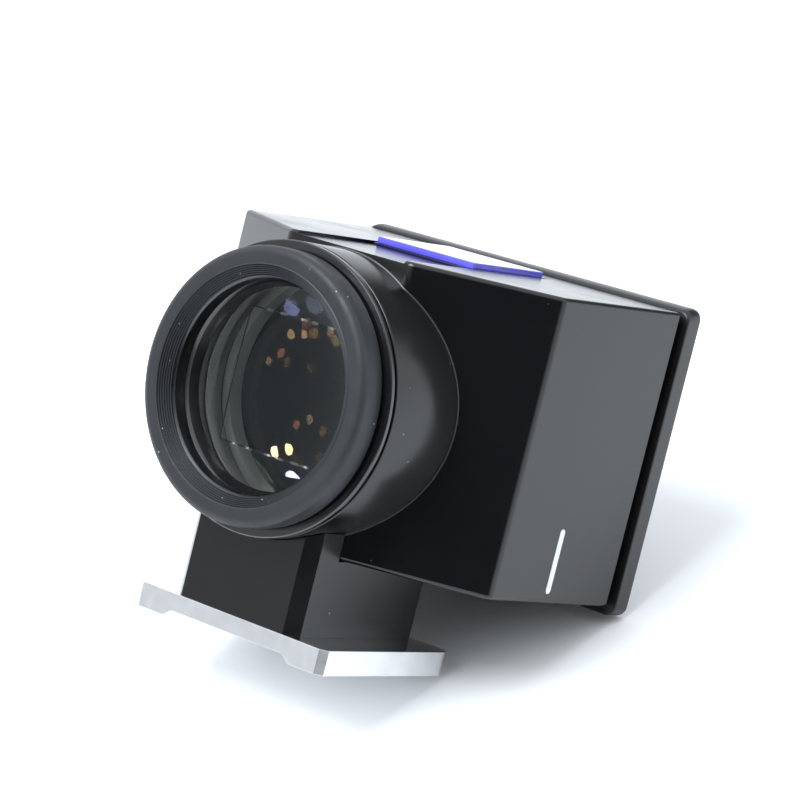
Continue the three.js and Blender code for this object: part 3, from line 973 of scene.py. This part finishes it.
def front_frame():
    """Thin plate with rounded edges, with a neck and a spigot behind it and a bevelled window."""
    rings = [
        window_ring(POCKET_W, POCKET_H, POCKET_R, SPIGOT_Y0),
        window_ring(SPIGOT_W, SPIGOT_H, SPIGOT_R, SPIGOT_Y0),
        window_ring(SPIGOT_W, SPIGOT_H, SPIGOT_R, BODY_FRONT),
        window_ring(NECK_W, NECK_H, NECK_R, BODY_FRONT),
        window_ring(NECK_W, NECK_H, NECK_R, FRAME_Y0),
    ]
    for i in range(10):
        angle = math.radians(10 * i)
        y = TOP_SLOPE_LENGTH * (1 - math.cos(angle))
        short = max(0, REAR_EDGE - y)
        side_d = REAR_EDGE - math.sqrt(REAR_EDGE ** 2 - short ** 2)
        rings.append(plate_ring(side_d, TOP_SLOPE * (1 - math.sin(angle)), FRAME_Y0 + y))
    for i in range(6):
        angle = math.radians(90 * i / 5)
        d = FRONT_EDGE * (1 - math.cos(angle))
        rings.append(plate_ring(d, d, FRAME_Y1 - FRONT_EDGE * (1 - math.sin(angle))))
    for i in range(4):
        angle = math.radians(30 * i)
        out = WINDOW_EDGE * (1 - math.sin(angle))
        y = FRAME_Y1 - WINDOW_EDGE * (1 - math.cos(angle))
        rings.append(window_ring(WINDOW_W + out, WINDOW_H + out, WINDOW_R, y))
    rings.append(window_ring(WINDOW_W, WINDOW_H, WINDOW_R, LIP_Y))
    rings.append(window_ring(POCKET_W, POCKET_H, POCKET_R, LIP_Y))
    return keep_flats_flat(loop_mesh("window_frame", rings, True))


finish(front_frame(), FRAME_BLACK, "body_paint", "front_frame")


def objective():
    """Rectangular lens, flat in front with a polished edge and hollow behind."""
    w, h = POCKET_W - 0.1, POCKET_H - 0.1
    rings = [
        window_ring(w, h, 0.75, 12.7),
        window_ring(w, h, 0.75, LIP_Y - 0.1),
        window_ring(w - 0.1, h - 0.1, 0.7, LIP_Y),
    ]
    blank = loop_mesh("objective", rings, False)
    hollow = turned_solid("hollow", lens_face(18, 12.2, -2.0, 24) + [(18, 11.0), (0, 11.0)])
    return cut(blank, hollow)


finish(objective(), FRONT_GLASS, "lens_glass", "objective_lens")

# Pieces deep inside keep their CAD shapes and only get materials.
for node in ("objective_clamp", "field_mask", "body_screw_1", "body_screw_2"):
    cad = frame["nodes"][node]
    cad.data.materials.clear()
    cad.data.materials.append(SCREW_METAL if node.startswith("body_screw") else INNER_BLACK)

# --- Floor, light and camera -------------------------------------------------------------------------------

# The finder rests nose down, on the foot's front edge and on the front frame's lower edge.
REST_BACK = Vector((0, PLATE_FRONT, 0))
REST_FRONT = Vector((0, FRAME_Y1, FRAME_LOW.z))
UP = Vector((1, 0, 0)).cross(REST_FRONT - REST_BACK).normalized()
FLOOR_R = 420


def floor():
    """Round pale floor that fades out at its edge and is clear from below."""
    side = Vector((1, 0, 0))
    ahead = UP.cross(side)
    middle = (REST_BACK + REST_FRONT) / 2 - UP * 0.02
    bm = bmesh.new()
    ring = []
    for angle in full_turn(96):
        ring.append(bm.verts.new(middle + (side * math.cos(angle) + ahead * math.sin(angle)) * FLOOR_R))
    face = bm.faces.new(ring)
    face.normal_update()
    if face.normal.dot(UP) < 0:
        face.normal_flip()
    bmesh.ops.scale(bm, vec=(MM, MM, MM), verts=bm.verts)
    mesh = bpy.data.meshes.new("floor")
    bm.to_mesh(mesh)
    bm.free()
    obj = bpy.data.objects.new("floor", mesh)
    scene.collection.objects.link(obj)
    material, tree, shader = new_material("pale_floor", (0.93, 0.94, 0.95), 0.6)
    shader.inputs["Specular IOR Level"].default_value = 0.2
    where = tree.nodes.new("ShaderNodeTexCoord")
    away = tree.nodes.new("ShaderNodeVectorMath")
    away.operation = "DISTANCE"
    away.inputs[1].default_value = middle * MM
    tree.links.new(where.outputs["Object"], away.inputs[0])
    fade = remap(tree, away.outputs["Value"], 0.3 * FLOOR_R * MM, 0.95 * FLOOR_R * MM, 1, 0)
    sides = tree.nodes.new("ShaderNodeNewGeometry")
    front = tree.nodes.new("ShaderNodeMath")
    front.operation = "SUBTRACT"
    front.inputs[0].default_value = 1
    tree.links.new(sides.outputs["Backfacing"], front.inputs[1])
    tree.links.new(multiply(tree, fade, front.outputs["Value"]), shader.inputs["Alpha"])
    mesh.materials.append(material)


floor()

# Camera, in the row's frame: azimuth from straight behind, elevation and roll.
LENS_MM = 139.3
EYE = Vector((139.476, -190.279, 40.578))
AZIMUTH = math.radians(35.9101)
ELEVATION = math.radians(5.103)
ROLL = math.radians(13.9588)
AXES = (
    Matrix.Rotation(AZIMUTH, 3, "Z")
    @ Matrix.Rotation(math.pi / 2 - ELEVATION, 3, "X")
    @ Matrix.Rotation(ROLL, 3, "Z")
)
CAMERA_RIGHT, _, CAMERA_BACK = AXES.transposed()

camera_data = bpy.data.cameras.new("camera")
camera_data.lens = LENS_MM
camera_data.sensor_width = 36
camera_data.clip_start = 0.01
camera_data.clip_end = 10
camera = bpy.data.objects.new("camera", camera_data)
camera.matrix_world = Matrix.Translation(EYE * MM) @ AXES.to_4x4()
scene.collection.objects.link(camera)
scene.camera = camera

WORLD_LIGHT = 1.4
BACKDROP_LIGHT = 1.05
COOL_LIGHT = (0.93, 0.975, 1.02)
DARK_SIDE = Vector((0.55, -0.83, -0.03)).normalized()
FAR_SIDE = Vector((0.1, 0.8, 0.6)).normalized()
EYE_SIDE = Vector((-0.58, -0.81, -0.09)).normalized()


def world():
    """White studio all round, with a dark patch and two dimmer ones where the room is unlit."""
    sky = bpy.data.worlds.new("studio")
    scene.world = sky
    sky.use_nodes = True
    tree = sky.node_tree
    background = tree.nodes["Background"]
    where = tree.nodes.new("ShaderNodeTexCoord")

    def patch(direction, outer, inner, light, dark):
        """Value that falls from light to dark between outer and inner degrees off a direction."""
        facing = tree.nodes.new("ShaderNodeVectorMath")
        facing.operation = "DOT_PRODUCT"
        facing.inputs[1].default_value = direction
        tree.links.new(where.outputs["Generated"], facing.inputs[0])
        limits = (math.cos(math.radians(outer)), math.cos(math.radians(inner)))
        return remap(tree, facing.outputs["Value"], *limits, light, dark)

    light = multiply(tree, patch(DARK_SIDE, 48, 22, WORLD_LIGHT, 0.03), patch(FAR_SIDE, 27, 15, 1, 0.12))
    light = multiply(tree, light, patch(EYE_SIDE, 45, 20, 1, 0.5))
    # The camera sees a plain white backdrop.
    seen = tree.nodes.new("ShaderNodeLightPath").outputs["Is Camera Ray"]
    tree.links.new(blend_values(tree, seen, light, BACKDROP_LIGHT), background.inputs["Strength"])
    tree.links.new(blend_colours(tree, seen, COOL_LIGHT, (1, 1, 1)), background.inputs["Color"])


world()
scene.view_settings.view_transform = "Standard"
scene.view_settings.look = "None"


def soft_light(name, position, target, size, power, colour=(1, 1, 1)):
    """Round area lamp aimed at target, which the camera doesn't see."""
    data = bpy.data.lights.new(name, "AREA")
    data.shape = "DISK"
    data.size = size * MM
    data.energy = power
    data.color = colour
    obj = bpy.data.objects.new(name, data)
    obj.location = position * MM
    obj.rotation_euler = (target - position).to_track_quat("-Z", "Y").to_euler()
    obj.visible_camera = False
    scene.collection.objects.link(obj)
    return obj


# The lights, placed from the middle of the finder.
MIDDLE = Vector((0, 0, 14))
KEY_FROM = (UP + CAMERA_BACK * 0.35 - CAMERA_RIGHT * 0.45).normalized()
KEY_AWAY = 430
FILL_FROM = (CAMERA_BACK * 0.55 + UP * 0.4 - CAMERA_RIGHT * 0.9).normalized()
FILL_AWAY = 400
soft_light("key", MIDDLE + KEY_FROM * KEY_AWAY, MIDDLE, 240, 1.6, COOL_LIGHT)
fill = soft_light("fill", MIDDLE + FILL_FROM * FILL_AWAY, MIDDLE, 260, 0.65, COOL_LIGHT)
fill.visible_glossy = False
fill.visible_transmission = False


def lit_only(light, name, pieces):
    """Makes the light fall on the named pieces alone."""
    lit = bpy.data.collections.new(name)
    for piece in pieces:
        lit.objects.link(bpy.data.objects[piece])
    light.light_linking.receiver_collection = lit


INSIDE = (
    "eye_lens",
    "inner_lens",
    "frame_line_plate",
    "front_spacer",
    "rear_spacer",
    "lens_cell",
    "frame_outline",
)
WALL_FROM = (CAMERA_BACK * 0.95 + UP * 0.15 + CAMERA_RIGHT * 0.1).normalized()
WALL_AWAY = 350
eyepiece_light = soft_light("eyepiece_light", MIDDLE + WALL_FROM * WALL_AWAY, Vector((0, -10, 19)), 90, 1.6)
eyepiece_light.visible_glossy = False
lit_only(eyepiece_light, "eyepiece_inside", INSIDE)

LENS_CURVE = sphere_radius(EYE_REAR_R, EYE_REAR_BULGE)
LENS_CENTRE = Vector((0, EYE_REAR_EDGE - EYE_REAR_BULGE + LENS_CURVE, AXIS_Z))
LAMP_AWAY = 300


def room_lamp(name, x, z, size, power, colour):
    """Small lamp across the room that the eye lens mirrors at x, z. It lights only the eye lens."""
    offset = Vector((x, 0, z - AXIS_Z))
    depth = math.sqrt(LENS_CURVE ** 2 - offset.length_squared)
    point = LENS_CENTRE + offset - Vector((0, depth, 0))
    normal = (point - LENS_CENTRE).normalized()
    look = (point - EYE).normalized()
    away = look - normal * (2 * look.dot(normal))
    lamp = soft_light(name, point + away * LAMP_AWAY, point, size, power, colour)
    lit_only(lamp, name + "_glass", ["eye_lens"])


room_lamp("lamp_a", 0.6, 14.5, 15, 0.09, (1.0, 0.55, 0.25))
room_lamp("lamp_b", 1.85, 15.0, 16, 0.11, (1.0, 0.6, 0.2))
room_lamp("lamp_c", 2.55, 12.6, 36, 0.5, (0.55, 0.55, 1.0))
room_lamp("lamp_d", -0.8, 21.6, 14, 0.004, (1.0, 0.4, 0.2))
room_lamp("lamp_e", 0.6, 24.2, 18, 0.004, (0.9, 0.4, 0.3))
room_lamp("lamp_f", 3.2, 17.6, 13, 0.005, (0.9, 0.55, 0.3))
